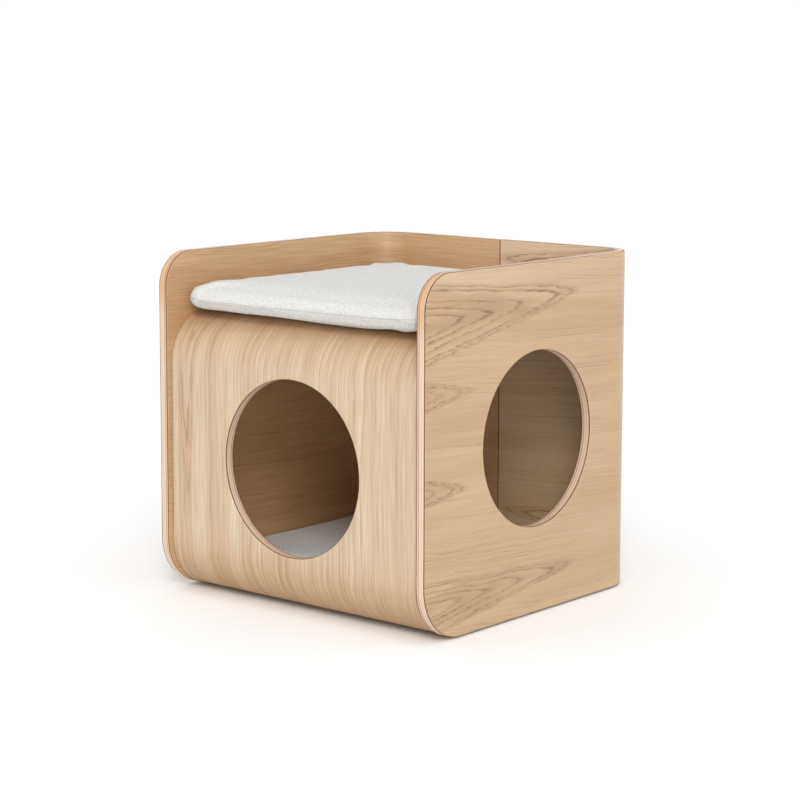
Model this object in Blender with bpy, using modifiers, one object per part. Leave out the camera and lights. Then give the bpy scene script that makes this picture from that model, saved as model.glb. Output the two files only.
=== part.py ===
"""Cat house of bent plywood: two shells, an inner wrap, two cushions and the fittings between them.

The front faces -Y and the side doorway +X. The origin is on the ground, under the middle of the house.
All sizes are in metres.
"""

import math

import bmesh
import bpy
from mathutils import Matrix, Vector

# The house as a whole
HOUSE_WIDTH = 0.400
HOUSE_DEPTH = 0.400
HOUSE_HEIGHT = 0.400
PLY = 0.013  # thickness of all three bent sheets
FIT_GAP = 0.0003  # between pieces that touch

# The two shells: each is one side and half of the back
SHELL_BEND_RADIUS = 0.050  # outside of the bend between the side and the back
FRONT_TOP_RADIUS = 0.040
FRONT_BOTTOM_RADIUS = 0.062
SHELL_EDGE_ROUNDING = 0.0016
SEAM_ARRIS = 0.0005  # broken edge where the two shells butt
SIDE_DOOR_DIAMETER = 0.200

# The inner wrap: floor, front and shelf in one sheet
TRAY_DEPTH = 0.070  # from the shells' top edges down to the shelf
WRAP_BEND_RADIUS = 0.058  # outside of both bends
WRAP_SETBACK = 0.007  # of its front behind the shells' front edges
WRAP_EDGE_ROUNDING = 0.0006
WRAP_CORNER_EASE = 0.002  # its back corners are this much rounder than the shells' bends
FRONT_DOOR_ABOVE = 0.00275  # flat wood left between the doorway and the upper bend
FRONT_DOOR_BELOW = 0.0075  # flat wood left between the doorway and the lower bend
DOOR_ROUNDING = 0.0018

# The cushions
CUSHION_SIDE_CLEARANCE = 0.0005
CUSHION_BACK_CLEARANCE = 0.001
CUSHION_CORNER_EASE = 0.012  # its corners are this much rounder than the shells' bends inside
CUSHION_SIDE_ROLL = 0.006  # how far the side leans in above and below its seam
CUSHION_DRAW_IN = 0.0013  # how far each side pulls in between its corners
TOP_CUSHION_THICKNESS = 0.0315
TOP_CUSHION_CROWN = 0.0035
TOP_CUSHION_SETBACK = 0.008  # behind the wrap's front
FLOOR_CUSHION_THICKNESS = 0.031
FLOOR_CUSHION_CROWN = 0.003
FLOOR_CUSHION_REACH = 0.010  # forward of where the floor starts to bend up

# Dowels: across the back seam, and between the wrap's side edges and the shells
DOWEL_DIAMETER = 0.006
DOWEL_CHAMFER = 0.0006
SEAM_DOWEL_LENGTH = 0.030
SEAM_DOWEL_COUNT = 4
SEAM_DOWEL_END_DISTANCE = 0.055  # from the back's top and bottom edges
WRAP_DOWEL_IN_SHELL = 0.009
WRAP_DOWEL_IN_WRAP = 0.016
WRAP_DOWEL_FROM_BOLT = 0.032

# Cam fittings: a cam in the wrap pulls in a bolt that is screwed into the shell
CAM_DIAMETER = 0.012
CAM_COVER = 0.003  # wood left over the cam, whose other face is flush
CAM_INSET = 0.024  # from the wrap's side edge to the cam's middle
CAM_BEHIND_BEND = 0.030  # front cams, behind the wrap's bends
CAM_BEFORE_BACK = 0.060  # back cams, in front of the wrap's back edge
RECESS_WIDTH = 0.0012
RECESS_LENGTH = 0.0065
RECESS_DEPTH = 0.0024
BOLT_THREAD_DIAMETER = 0.005
BOLT_THREAD_LENGTH = 0.009
BOLT_SHANK_DIAMETER = 0.0064
BOLT_NECK_DIAMETER = 0.003
BOLT_SHANK_CLEARANCE = 0.001  # from the shank's end to the cam
BOLT_HEAD_DIAMETER = 0.0048
BOLT_HEAD_LENGTH = 0.0022

# Felt pads glued under the floor
PAD_DIAMETER = 0.025
PAD_THICKNESS = 0.002
PAD_ROUNDING = 0.0004
PAD_INSET = 0.045  # from the wrap's side edges
PAD_BEHIND_BEND = 0.018
PAD_BEFORE_BACK = 0.037

# How finely round shapes are divided
ARC_STEPS = 10  # in each quarter turn of a bend or a corner
DOOR_SIDES = 64
ROUND_SIDES = 12  # dowels, bolts and their bores
CAM_SIDES = 24
PAD_SIDES = 32
ROUNDING_SEGMENTS = 2
TRIM_MARGIN = 0.005  # by which a pressed sheet is larger than its finished outline

# What follows from those sizes
UNDERSIDE = PAD_THICKNESS + FIT_GAP
SHELF_TOP = HOUSE_HEIGHT - TRAY_DEPTH
INNER_HALF_WIDTH = HOUSE_WIDTH / 2 - PLY
FRONT = -HOUSE_DEPTH / 2
BACK = HOUSE_DEPTH / 2
INNER_BACK = BACK - PLY
WRAP_FRONT = FRONT + WRAP_SETBACK
WRAP_BACK = INNER_BACK - FIT_GAP
WRAP_HALF_WIDTH = INNER_HALF_WIDTH - FIT_GAP
BEND_START = WRAP_FRONT + WRAP_BEND_RADIUS
FRONT_FLAT = SHELF_TOP - UNDERSIDE - 2 * WRAP_BEND_RADIUS
FRONT_DOOR_DIAMETER = FRONT_FLAT - FRONT_DOOR_ABOVE - FRONT_DOOR_BELOW
FRONT_DOOR_MIDDLE = UNDERSIDE + WRAP_BEND_RADIUS + FRONT_DOOR_BELOW + FRONT_DOOR_DIAMETER / 2
FLOOR_TOP = UNDERSIDE + PLY
CAM_HEIGHT = PLY - CAM_COVER
CUSHION_CORNER_RADIUS = SHELL_BEND_RADIUS - PLY + CUSHION_CORNER_EASE
SHELF_MIDDLE = SHELF_TOP - PLY / 2
FLOOR_MIDDLE = UNDERSIDE + PLY / 2
FITTING_FRONT = BEND_START + CAM_BEHIND_BEND
FITTING_BACK = WRAP_BACK - CAM_BEFORE_BACK
SIDES = (("left", -1), ("right", 1))
LEVELS = (("shelf", SHELF_MIDDLE), ("floor", FLOOR_MIDDLE))
PLACES = (("front", FITTING_FRONT), ("back", FITTING_BACK))

# An outline in (u, v) either lies flat, as (x, y), or stands across the house, as (y, z)
FLAT = Matrix.Identity(3)
UPRIGHT = Matrix(((0, 0, 1), (1, 0, 0), (0, 1, 0)))


def new_collection(name):
    made = bpy.data.collections.new(name)
    bpy.context.scene.collection.children.link(made)
    return made


def new_material(name, colour, roughness, metallic=0.0):
    made = bpy.data.materials.new(name)
    made.use_nodes = True
    shader = made.node_tree.nodes["Principled BSDF"]
    shader.inputs["Base Color"].default_value = (*colour, 1)
    shader.inputs["Roughness"].default_value = roughness
    shader.inputs["Metallic"].default_value = metallic
    made.diffuse_color = (*colour, 1)
    return made


def mesh_from(name, shape):
    """The mesh of a bmesh, shaded smooth but for its real edges."""
    mesh = bpy.data.meshes.new(name)
    shape.to_mesh(mesh)
    shape.free()
    mesh.shade_smooth()
    mesh.set_sharp_from_angle(angle=math.radians(35))
    return mesh


def place(name, mesh, group, location=(0, 0, 0), rotation=(0, 0, 0)):
    thing = bpy.data.objects.new(name, mesh)
    thing.location = location
    thing.rotation_euler = rotation
    group.objects.link(thing)
    return thing


def finish_piece(piece, material, parent):
    if not piece.data.materials:
        piece.data.materials.append(material)
    piece.parent = parent
    return piece


def rounded(corners):
    """Points through corners, each given as ((u, v), radius). A corner with a radius becomes an arc."""
    points = []
    for index, (corner, radius) in enumerate(corners):
        corner = Vector(corner)
        if radius == 0:
            points.append(corner)
            continue
        back = (Vector(corners[index - 1][0]) - corner).normalized()
        ahead = (Vector(corners[(index + 1) % len(corners)][0]) - corner).normalized()
        half_angle = back.angle(ahead) / 2
        centre = corner + (back + ahead).normalized() * radius / math.sin(half_angle)
        tangent = radius / math.tan(half_angle)
        start = (corner + back * tangent - centre).normalized()
        end = (corner + ahead * tangent - centre).normalized()
        for step in range(ARC_STEPS + 1):
            points.append(centre + radius * start.slerp(end, step / ARC_STEPS))
    return points


def pressed_sheet(name, path, low, high, stance, group):
    """A sheet bent along path, its outer face on the path, running across it from low to high."""
    shape = bmesh.new()
    row = [shape.verts.new(stance @ Vector((*point, low))) for point in path]
    edges = [shape.edges.new(pair) for pair in zip(row, row[1:])]
    swept = bmesh.ops.extrude_edge_only(shape, edges=edges)["geom"]
    far_row = [item for item in swept if isinstance(item, bmesh.types.BMVert)]
    bmesh.ops.translate(shape, vec=stance @ Vector((0, 0, high - low)), verts=far_row)
    sheet = place(name, mesh_from(name, shape), group)
    thickness = sheet.modifiers.new("ply", "SOLIDIFY")
    thickness.thickness = PLY
    thickness.offset = -1
    thickness.use_even_offset = True
    return sheet


def outline_cutter(name, outline, low, high, stance, group):
    """A solid with that flat outline, from low to high across it."""
    curve = bpy.data.curves.new(name, "CURVE")
    curve.dimensions = "2D"
    curve.fill_mode = "BOTH"
    curve.extrude = (high - low) / 2
    spline = curve.splines.new("POLY")
    spline.points.add(len(outline) - 1)
    for point, (u, v) in zip(spline.points, outline):
        point.co = (u, v, 0, 1)
    spline.use_cyclic_u = True
    drawn = place(name, curve, group)
    bpy.context.view_layer.update()
    seen = drawn.evaluated_get(bpy.context.evaluated_depsgraph_get())
    mesh = bpy.data.meshes.new_from_object(seen)
    bpy.data.objects.remove(drawn)
    shape = bmesh.new()
    shape.from_mesh(mesh)
    bmesh.ops.remove_doubles(shape, verts=shape.verts, dist=0.0001)
    bmesh.ops.translate(shape, vec=(0, 0, (high + low) / 2), verts=shape.verts)
    bmesh.ops.transform(shape, matrix=stance.to_4x4(), verts=shape.verts)
    shape.to_mesh(mesh)
    shape.free()
    return as_cutter(place(name, mesh, group))


def as_cutter(thing):
    thing.hide_render = True
    thing.display_type = "WIRE"
    return thing


def box_cutter(name, low, high, group):
    """A block between two opposite corners."""
    shape = bmesh.new()
    bmesh.ops.create_cube(shape, size=1)
    low, high = Vector(low), Vector(high)
    bmesh.ops.scale(shape, vec=high - low, verts=shape.verts)
    bmesh.ops.translate(shape, vec=(high + low) / 2, verts=shape.verts)
    return as_cutter(place(name, mesh_from(name, shape), group))


def cylinder(diameter, length, sides):
    """A cylinder along Z round the middle, as a bmesh."""
    shape = bmesh.new()
    radius = diameter / 2
    bmesh.ops.create_cone(
        shape, cap_ends=True, segments=sides, radius1=radius, radius2=radius, depth=length
    )
    return shape


def bore_along_x(name, diameter, start, end, y, z, groups):
    """A cutter for a hole along X from start to end, linked to each of the groups it cuts for."""
    mesh = mesh_from(name, cylinder(diameter, abs(end - start), ROUND_SIDES))
    middle = ((start + end) / 2, y, z)
    cutter = as_cutter(place(name, mesh, groups[0], middle, (0, math.pi / 2, 0)))
    for group in groups[1:]:
        group.objects.link(cutter)
    return cutter


def boolean(piece, cutter, operation="DIFFERENCE"):
    step = piece.modifiers.new(cutter.name, "BOOLEAN")
    step.operation = operation
    step.solver = "EXACT"
    if isinstance(cutter, bpy.types.Collection):
        step.operand_type = "COLLECTION"
        step.collection = cutter
    else:
        step.object = cutter


def round_edges(piece, width, segments=ROUNDING_SEGMENTS):
    """Rounds the square edges, and leaves what an earlier rounding or a bend made."""
    step = piece.modifiers.new("rounding", "BEVEL")
    step.width = width
    step.segments = segments
    step.limit_method = "ANGLE"
    step.angle_limit = math.radians(60)
    step.use_clamp_overlap = False


def finished_mesh(thing, cutters=()):
    """The mesh that a template's modifiers make. The template and its cutters are removed."""
    bpy.context.view_layer.update()
    seen = thing.evaluated_get(bpy.context.evaluated_depsgraph_get())
    mesh = bpy.data.meshes.new_from_object(seen)
    mesh.name = thing.name
    for used in (thing, *cutters):
        bpy.data.objects.remove(used)
    mesh.shade_smooth()
    mesh.set_sharp_from_angle(angle=math.radians(35))
    return mesh


def make_shell(side, sign, trim, bores, parts, cutters):
    """One L in plan: pressed from the seam round the bend to the front, then trimmed and bored."""
    seam_end = -sign * TRIM_MARGIN
    edge = sign * HOUSE_WIDTH / 2
    path = rounded(
        [
            ((seam_end, BACK), 0),
            ((edge, BACK), SHELL_BEND_RADIUS),
            ((edge, FRONT - TRIM_MARGIN), 0),
        ]
    )
    if sign < 0:
        path.reverse()  # so that its outer face points out
    bottom = UNDERSIDE - TRIM_MARGIN
    top = HOUSE_HEIGHT + TRIM_MARGIN
    shell = pressed_sheet(side + "_shell", path, bottom, top, FLAT, parts)
    boolean(shell, trim, "INTERSECT")
    if sign > 0:
        boolean(shell, side_door_cutter(cutters))
    round_edges(shell, SHELL_EDGE_ROUNDING)
    seam_face = sign * FIT_GAP / 2
    beyond = -sign * 3 * TRIM_MARGIN
    seam = box_cutter(
        side + "_seam_cut",
        (min(seam_face, beyond), INNER_BACK - TRIM_MARGIN, bottom),
        (max(seam_face, beyond), BACK + TRIM_MARGIN, top),
        cutters,
    )
    boolean(shell, seam)
    round_edges(shell, SEAM_ARRIS, segments=1)
    boolean(shell, bores)
    return shell


def side_outline():
    """The shells' outline from the side, as (y, z): the two front corners are round."""
    behind = BACK + TRIM_MARGIN
    return rounded(
        [
            ((FRONT, UNDERSIDE), FRONT_BOTTOM_RADIUS),
            ((behind, UNDERSIDE), 0),
            ((behind, HOUSE_HEIGHT), 0),
            ((FRONT, HOUSE_HEIGHT), FRONT_TOP_RADIUS),
        ]
    )


def side_door_cutter(cutters):
    """The doorway in the right side, in the middle of the shell's height and depth."""
    shape = cylinder(SIDE_DOOR_DIAMETER, 4 * PLY, DOOR_SIDES)
    middle = (HOUSE_WIDTH / 2 - PLY / 2, (FRONT + BACK) / 2, (UNDERSIDE + HOUSE_HEIGHT) / 2)
    name = "side_door_cut"
    return as_cutter(place(name, mesh_from(name, shape), cutters, middle, (0, math.pi / 2, 0)))


def front_door_cutter(cutters):
    """The doorway in the wrap, which nearly reaches the upper bend."""
    shape = cylinder(FRONT_DOOR_DIAMETER, 4 * PLY, DOOR_SIDES)
    middle = (0, WRAP_FRONT + PLY / 2, FRONT_DOOR_MIDDLE)
    name = "front_door_cut"
    return as_cutter(place(name, mesh_from(name, shape), cutters, middle, (math.pi / 2, 0, 0)))


def wrap_plan():
    """The wrap's outline from above, as (x, y): its back corners fit inside the shells' bends."""
    corner = SHELL_BEND_RADIUS - PLY + WRAP_CORNER_EASE
    before = FRONT - TRIM_MARGIN
    return rounded(
        [
            ((-WRAP_HALF_WIDTH, before), 0),
            ((WRAP_HALF_WIDTH, before), 0),
            ((WRAP_HALF_WIDTH, WRAP_BACK), corner),
            ((-WRAP_HALF_WIDTH, WRAP_BACK), corner),
        ]
    )


def make_wrap(bores, parts, cutters):
    """One C seen from the side: pressed from the floor round the front to the shelf, then trimmed."""
    end = WRAP_BACK + TRIM_MARGIN
    path = rounded(
        [
            ((end, UNDERSIDE), 0),
            ((WRAP_FRONT, UNDERSIDE), WRAP_BEND_RADIUS),
            ((WRAP_FRONT, SHELF_TOP), WRAP_BEND_RADIUS),
            ((end, SHELF_TOP), 0),
        ]
    )
    reach = WRAP_HALF_WIDTH + TRIM_MARGIN
    wrap = pressed_sheet("inner_wrap", path, -reach, reach, UPRIGHT, parts)
    below = UNDERSIDE - TRIM_MARGIN
    above = SHELF_TOP + TRIM_MARGIN
    plan = outline_cutter("wrap_trim", wrap_plan(), below, above, FLAT, cutters)
    boolean(wrap, plan, "INTERSECT")
    round_edges(wrap, WRAP_EDGE_ROUNDING)
    boolean(wrap, front_door_cutter(cutters))
    round_edges(wrap, DOOR_ROUNDING)
    boolean(wrap, bores)
    return wrap


def seam_dowel_heights():
    low = UNDERSIDE + SEAM_DOWEL_END_DISTANCE
    high = HOUSE_HEIGHT - SEAM_DOWEL_END_DISTANCE
    step = (high - low) / (SEAM_DOWEL_COUNT - 1)
    return [low + step * index for index in range(SEAM_DOWEL_COUNT)]


def dowel_mesh(name, length, cutters):
    stock = place(name, mesh_from(name, cylinder(DOWEL_DIAMETER, length, ROUND_SIDES)), cutters)
    round_edges(stock, DOWEL_CHAMFER, segments=1)
    return finished_mesh(stock)


def bolt_mesh(cutters):
    """Turned about Z, from the thread's tip at the bottom to the head that the cam holds."""
    cam_middle = BOLT_THREAD_LENGTH + FIT_GAP + CAM_INSET
    top = cam_middle + BOLT_HEAD_LENGTH / 2
    under_head = top - BOLT_HEAD_LENGTH
    shank_end = cam_middle - CAM_DIAMETER / 2 - BOLT_SHANK_CLEARANCE
    profile = [
        (0, top),
        (BOLT_HEAD_DIAMETER / 2, top),
        (BOLT_HEAD_DIAMETER / 2, under_head),
        (BOLT_NECK_DIAMETER / 2, under_head),
        (BOLT_NECK_DIAMETER / 2, shank_end),
        (BOLT_SHANK_DIAMETER / 2, shank_end),
        (BOLT_SHANK_DIAMETER / 2, BOLT_THREAD_LENGTH + FIT_GAP),
        (BOLT_THREAD_DIAMETER / 2, BOLT_THREAD_LENGTH + FIT_GAP),
        (BOLT_THREAD_DIAMETER / 2, BOLT_THREAD_DIAMETER / 4),
        (BOLT_THREAD_DIAMETER / 4, 0),
        (0, 0),
    ]
    shape = bmesh.new()
    row = [shape.verts.new((radius, 0, height)) for radius, height in profile]
    for pair in zip(row, row[1:]):
        shape.edges.new(pair)
    blank = place("cam_bolt", mesh_from("cam_bolt", shape), cutters)
    turning = blank.modifiers.new("turning", "SCREW")
    turning.steps = ROUND_SIDES
    turning.render_steps = ROUND_SIDES
    turning.use_merge_vertices = True
    turning.merge_threshold = 0.00001
    turning.use_smooth_shade = True
    return finished_mesh(blank)


def cam_mesh(cutters):
    """A drum whose mouth takes the bolt's head from -Y, and whose jaw closes on its neck towards +X.

    Its middle is on the bolt's line, and its face with the cross recess is down.
    """
    bottom = -PLY / 2
    drum_shape = cylinder(CAM_DIAMETER, CAM_HEIGHT, CAM_SIDES)
    bmesh.ops.translate(drum_shape, vec=(0, 0, bottom + CAM_HEIGHT / 2), verts=drum_shape.verts)
    drum = place("cam", mesh_from("cam", drum_shape), cutters)
    head = BOLT_HEAD_DIAMETER / 2 + FIT_GAP
    neck = BOLT_NECK_DIAMETER / 2 + FIT_GAP
    outside = CAM_DIAMETER
    long, wide = RECESS_LENGTH / 2, RECESS_WIDTH / 2
    deep = bottom + RECESS_DEPTH
    below = bottom - RECESS_DEPTH
    cuts = [
        box_cutter("mouth", (-head, -outside, -head), (head, head, head), cutters),
        box_cutter("jaw", (-neck, -outside, -neck), (outside, neck, neck), cutters),
        box_cutter("recess_along", (-long, -wide, below), (long, wide, deep), cutters),
        box_cutter("recess_across", (-wide, -long, below), (wide, long, deep), cutters),
    ]
    for cut in cuts:
        boolean(drum, cut)
    return finished_mesh(drum, cuts)


def pad_mesh(cutters):
    stock = place("pad", mesh_from("pad", cylinder(PAD_DIAMETER, PAD_THICKNESS, PAD_SIDES)), cutters)
    round_edges(stock, PAD_ROUNDING, segments=1)
    return finished_mesh(stock)


def cushion_mesh(name, half_width, half_depth, thickness, crown):
    """A pad on Z = 0: a cage of a block, with round corners, drawn-in sides and a crowned top."""
    shape = bmesh.new()
    bmesh.ops.create_cube(shape, size=1)
    size = Vector((2 * half_width, 2 * half_depth, thickness))
    bmesh.ops.scale(shape, vec=size, verts=shape.verts)
    ring = thickness / 2
    for axis, half in ((0, half_width), (1, half_depth)):
        normal = Vector((axis == 0, axis == 1, 0))
        inner = half - CUSHION_CORNER_RADIUS
        stations = (0, inner / 2, inner, half - ring)
        for station in sorted({sign * value for value in stations for sign in (-1, 1)}):
            cut_cage(shape, normal * station, normal)
    for station in (-thickness / 6, thickness / 6):
        cut_cage(shape, Vector((0, 0, station)), Vector((0, 0, 1)))
    for vert in shape.verts:
        vert.co = cushion_point(vert.co, half_width, half_depth, thickness, crown)
    return mesh_from(name, shape)


def cut_cage(shape, point, normal):
    everything = shape.verts[:] + shape.edges[:] + shape.faces[:]
    bmesh.ops.bisect_plane(shape, geom=everything, plane_co=point, plane_no=normal)


def cushion_point(point, half_width, half_depth, thickness, crown):
    """Where a point of the block goes on the cushion."""
    x, y, z = point
    over_x = max(0, abs(x) - (half_width - CUSHION_CORNER_RADIUS)) / CUSHION_CORNER_RADIUS
    over_y = max(0, abs(y) - (half_depth - CUSHION_CORNER_RADIUS)) / CUSHION_CORNER_RADIUS
    if over_x > 0 and over_y > 0:
        x -= math.copysign(CUSHION_CORNER_RADIUS * over_x * (1 - math.sqrt(1 - over_y**2 / 2)), x)
        y -= math.copysign(CUSHION_CORNER_RADIUS * over_y * (1 - math.sqrt(1 - over_x**2 / 2)), y)
    across, along = x / half_width, y / half_depth
    rim = max(over_x, over_y) ** 4
    lean = rim * CUSHION_SIDE_ROLL * (abs(z) / (thickness / 2)) ** 4
    x -= across * (CUSHION_DRAW_IN * abs(across) ** 3 * (1 - along**2) + lean)
    y -= along * (CUSHION_DRAW_IN * abs(along) ** 3 * (1 - across**2) + lean)
    height = z + thickness / 2
    height += crown * (height / thickness) * (1 - across**2) * (1 - along**2)
    return Vector((x, y, height))


def make_cushion(name, half_width, front, back, height, thickness, crown, parts):
    """A stuffed pad on the surface at that height, its origin in the middle of its underside."""
    half_depth = (back - front) / 2
    mesh = cushion_mesh(name, half_width, half_depth, thickness, crown)
    pad = place(name, mesh, parts, (0, (front + back) / 2, height + FIT_GAP))
    soft = pad.modifiers.new("filling", "SUBSURF")
    soft.levels = 1
    soft.render_levels = 1
    return pad


def fitting_places():
    """The eight places where the wrap is joined to the shells."""
    return [
        (level, z, side, sign, place_name, y)
        for level, z in LEVELS
        for side, sign in SIDES
        for place_name, y in PLACES
    ]


def make_seam_dowels(parts, bores, cutters):
    mesh = dowel_mesh("seam_dowel", SEAM_DOWEL_LENGTH, cutters)
    reach = SEAM_DOWEL_LENGTH / 2 + FIT_GAP
    bore = DOWEL_DIAMETER + 2 * FIT_GAP
    middle = BACK - PLY / 2
    made = []
    for number, height in enumerate(seam_dowel_heights(), 1):
        name = f"seam_dowel_{number}"
        made.append(place(name, mesh, parts, (0, middle, height), (0, math.pi / 2, 0)))
        bore_along_x(name + "_bore", bore, -reach, reach, middle, height, bores)
    return made


def make_wrap_dowels(parts, bores, cutters):
    """One beside each cam fitting, from the side edge of the shelf or the floor into the shell."""
    length = WRAP_DOWEL_IN_SHELL + WRAP_DOWEL_IN_WRAP
    mesh = dowel_mesh("wrap_dowel", length, cutters)
    bore = DOWEL_DIAMETER + 2 * FIT_GAP
    made = []
    for level, z, side, sign, place_name, fitting_y in fitting_places():
        towards_middle = 1 if place_name == "front" else -1
        y = fitting_y + towards_middle * WRAP_DOWEL_FROM_BOLT
        tip = sign * (INNER_HALF_WIDTH + WRAP_DOWEL_IN_SHELL)
        tail = tip - sign * length
        name = f"{level}_dowel_{place_name}_{side}"
        made.append(place(name, mesh, parts, ((tip + tail) / 2, y, z), (0, math.pi / 2, 0)))
        ends = (tip + sign * FIT_GAP, tail - sign * FIT_GAP)
        bore_along_x(name + "_bore", bore, *ends, y, z, bores)
    return made


def make_cam_fittings(parts, shell_bores, wrap_bores, cutters):
    """A bolt in the shell and a cam in the wrap at each of the eight places. Returns both lists."""
    bolt = bolt_mesh(cutters)
    cam = cam_mesh(cutters)
    bolts, cams = [], []
    for level, z, side, sign, place_name, y in fitting_places():
        where = f"{level}_{{}}_{place_name}_{side}"
        tip = sign * (INNER_HALF_WIDTH + BOLT_THREAD_LENGTH)
        inward = (0, -sign * math.pi / 2, 0)
        bolts.append(place(where.format("bolt"), bolt, parts, (tip, y, z), inward))
        middle = sign * (WRAP_HALF_WIDTH - CAM_INSET)
        outward = (0, 0, 0 if sign > 0 else math.pi)
        cams.append(place(where.format("cam"), cam, parts, (middle, y, z), outward))
        cut_fitting_bores(where, sign, y, z, tip, middle, shell_bores, wrap_bores)
    return bolts, cams


def cut_fitting_bores(where, sign, y, z, tip, middle, shell_bores, wrap_bores):
    """The thread's hole in the shell, the shank's hole in the wrap's edge, and the cam's pocket."""
    thread = BOLT_THREAD_DIAMETER + 2 * FIT_GAP
    inside_face = sign * (INNER_HALF_WIDTH - TRIM_MARGIN)
    ends = (tip + sign * FIT_GAP, inside_face)
    bore_along_x(where.format("thread_bore"), thread, *ends, y, z, [shell_bores])
    shank = BOLT_SHANK_DIAMETER + 2 * FIT_GAP
    ends = (sign * (WRAP_HALF_WIDTH + TRIM_MARGIN), middle)
    bore_along_x(where.format("shank_bore"), shank, *ends, y, z, [wrap_bores])
    pocket_height = CAM_HEIGHT + FIT_GAP + TRIM_MARGIN
    pocket = cylinder(CAM_DIAMETER + 2 * FIT_GAP, pocket_height, CAM_SIDES)
    centre = z - PLY / 2 + CAM_HEIGHT + FIT_GAP - pocket_height / 2
    name = where.format("pocket")
    as_cutter(place(name, mesh_from(name, pocket), wrap_bores, (middle, y, centre)))


def make_foot_pads(parts, cutters):
    mesh = pad_mesh(cutters)
    made = []
    for side, sign in SIDES:
        for place_name, y in (
            ("front", BEND_START + PAD_BEHIND_BEND),
            ("back", WRAP_BACK - PAD_BEFORE_BACK),
        ):
            name = f"foot_pad_{place_name}_{side}"
            x = sign * (WRAP_HALF_WIDTH - PAD_INSET)
            made.append(place(name, mesh, parts, (x, y, PAD_THICKNESS / 2)))
    return made


def main():
    for thing in list(bpy.data.objects):
        bpy.data.objects.remove(thing)
    parts = new_collection("cat_house")
    cutters = new_collection("cutters")
    shell_bores = new_collection("shell_bores")
    wrap_bores = new_collection("wrap_bores")

    shell_ply = new_material("shell_ply", (0.70, 0.51, 0.33), 0.45)
    wrap_ply = new_material("wrap_ply", (0.78, 0.62, 0.44), 0.45)
    linen = new_material("linen", (0.74, 0.72, 0.68), 0.95)
    beech = new_material("beech", (0.72, 0.52, 0.34), 0.6)
    zinc = new_material("zinc", (0.62, 0.62, 0.60), 0.4, 1.0)
    steel = new_material("steel", (0.70, 0.68, 0.60), 0.3, 1.0)
    felt = new_material("felt", (0.30, 0.26, 0.22), 1.0)

    house = place("house", None, parts)
    dowels = make_seam_dowels(parts, [shell_bores], cutters)
    dowels += make_wrap_dowels(parts, [shell_bores, wrap_bores], cutters)
    bolts, cams = make_cam_fittings(parts, shell_bores, wrap_bores, cutters)
    trim = outline_cutter(
        "shell_trim", side_outline(), -HOUSE_WIDTH, HOUSE_WIDTH, UPRIGHT, cutters
    )
    for side, sign in SIDES:
        shell = make_shell(side, sign, trim, shell_bores, parts, cutters)
        finish_piece(shell, shell_ply, house)
    finish_piece(make_wrap(wrap_bores, parts, cutters), wrap_ply, house)

    floor_cushion = make_cushion(
        "floor_cushion",
        INNER_HALF_WIDTH - CUSHION_SIDE_CLEARANCE,
        BEND_START - FLOOR_CUSHION_REACH,
        INNER_BACK - CUSHION_BACK_CLEARANCE,
        FLOOR_TOP,
        FLOOR_CUSHION_THICKNESS,
        FLOOR_CUSHION_CROWN,
        parts,
    )
    top_cushion = make_cushion(
        "top_cushion",
        INNER_HALF_WIDTH - CUSHION_SIDE_CLEARANCE,
        WRAP_FRONT + TOP_CUSHION_SETBACK,
        INNER_BACK - CUSHION_BACK_CLEARANCE,
        SHELF_TOP,
        TOP_CUSHION_THICKNESS,
        TOP_CUSHION_CROWN,
        parts,
    )
    for cushion in (floor_cushion, top_cushion):
        finish_piece(cushion, linen, house)
    top_cushion.lock_location = (True, True, False)  # it only lifts straight out

    for pieces, material in (
        (dowels, beech),
        (bolts, steel),
        (cams, zinc),
        (make_foot_pads(parts, cutters), felt),
    ):
        for piece in pieces:
            finish_piece(piece, material, house)


main()
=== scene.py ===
"""Cat house of bent plywood: veneered sheets that show their layers, their fittings, and linen cushions.

The front faces -Y and the side doorway +X. All sizes are in metres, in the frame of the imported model.
"""

import math

import bmesh
import bpy
from mathutils import Euler, Matrix, Vector, noise


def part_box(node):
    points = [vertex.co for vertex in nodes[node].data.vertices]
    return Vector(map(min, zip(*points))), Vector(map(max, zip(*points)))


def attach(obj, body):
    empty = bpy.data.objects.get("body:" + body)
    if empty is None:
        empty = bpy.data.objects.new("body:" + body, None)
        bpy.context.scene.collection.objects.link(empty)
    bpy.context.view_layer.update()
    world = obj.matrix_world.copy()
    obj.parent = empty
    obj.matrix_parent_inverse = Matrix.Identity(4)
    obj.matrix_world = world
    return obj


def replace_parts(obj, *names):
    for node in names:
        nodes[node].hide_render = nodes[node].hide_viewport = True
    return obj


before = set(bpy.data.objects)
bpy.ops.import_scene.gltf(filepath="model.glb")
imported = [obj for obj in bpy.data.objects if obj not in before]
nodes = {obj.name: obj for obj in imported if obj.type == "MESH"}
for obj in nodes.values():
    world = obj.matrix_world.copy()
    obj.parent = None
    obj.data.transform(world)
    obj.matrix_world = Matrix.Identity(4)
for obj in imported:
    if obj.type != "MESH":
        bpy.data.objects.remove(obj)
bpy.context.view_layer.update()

# The camera
# It looks from where the photograph was taken, to the right of the front and a little above the house.
# The pixels are those of the photograph's frame.
FRAME_PIXELS = 800
FOCAL_PIXELS = 2237.9
LENS_AXIS_PIXEL = (407.73, 335.87)
SENSOR_MM = 36
CAMERA_PLACE = (1.67101, -1.99136, 0.64388)
CAMERA_TURN = math.radians(39.855)
CAMERA_DIP = math.radians(7.545)
CAMERA_ROLL = math.radians(0.178)
CAMERA_REACH = 400

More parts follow.
